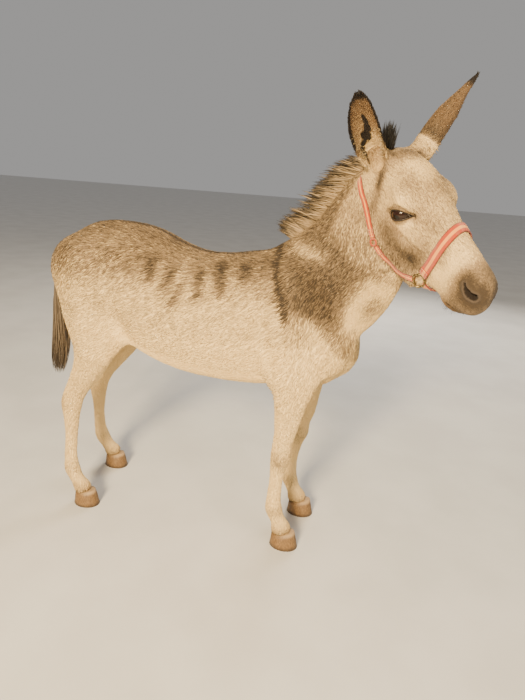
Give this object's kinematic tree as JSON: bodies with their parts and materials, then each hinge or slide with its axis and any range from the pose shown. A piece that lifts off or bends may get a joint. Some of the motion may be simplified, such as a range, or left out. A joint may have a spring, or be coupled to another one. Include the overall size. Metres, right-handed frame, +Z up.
{
  "type": "standing donkey",
  "caption": "Life-size standing donkey, head turned to its right, short roan coat, upright mane and a webbing halter.",
  "frame": {"origin": "on the floor, below the middle of the bounding box", "axes": "+X toward the front of the body, +Y to the donkey's left, +Z up"},
  "size_m": [1.7004, 0.5476, 1.7438],
  "materials": {
    "hide": "short roan coat, grey-brown above and cream below",
    "mane": "short upright hair",
    "dark_hair": "coarse dark hair",
    "hoof": "dull horn",
    "eye": "wet, glossy",
    "webbing": "woven webbing with a pale stripe",
    "ring": "worn"
  },
  "bodies": {
    "root": {"ear_left": "hide", "ear_right": "hide", "eye_left": "eye", "eye_right": "eye", "fore_leg_left": "hide", "fore_leg_right": "hide", "forelock": "dark_hair", "halter_cheek_strap_left": "webbing", "halter_cheek_strap_right": "webbing", "halter_chin_strap": "webbing", "halter_crown_strap": "webbing", "halter_loop_left": "webbing", "halter_loop_right": "webbing", "halter_noseband": "webbing", "halter_ring_left": "ring", "halter_ring_right": "ring", "head": "hide", "hind_leg_left": "hide", "hind_leg_right": "hide", "hoof_fore_left": "hoof", "hoof_fore_right": "hoof", "hoof_hind_left": "hoof", "hoof_hind_right": "hoof", "mane": "mane", "neck": "hide", "tail_dock": "hide", "tail_hair": "dark_hair", "trunk": "hide"}
  },
  "joints": []
}
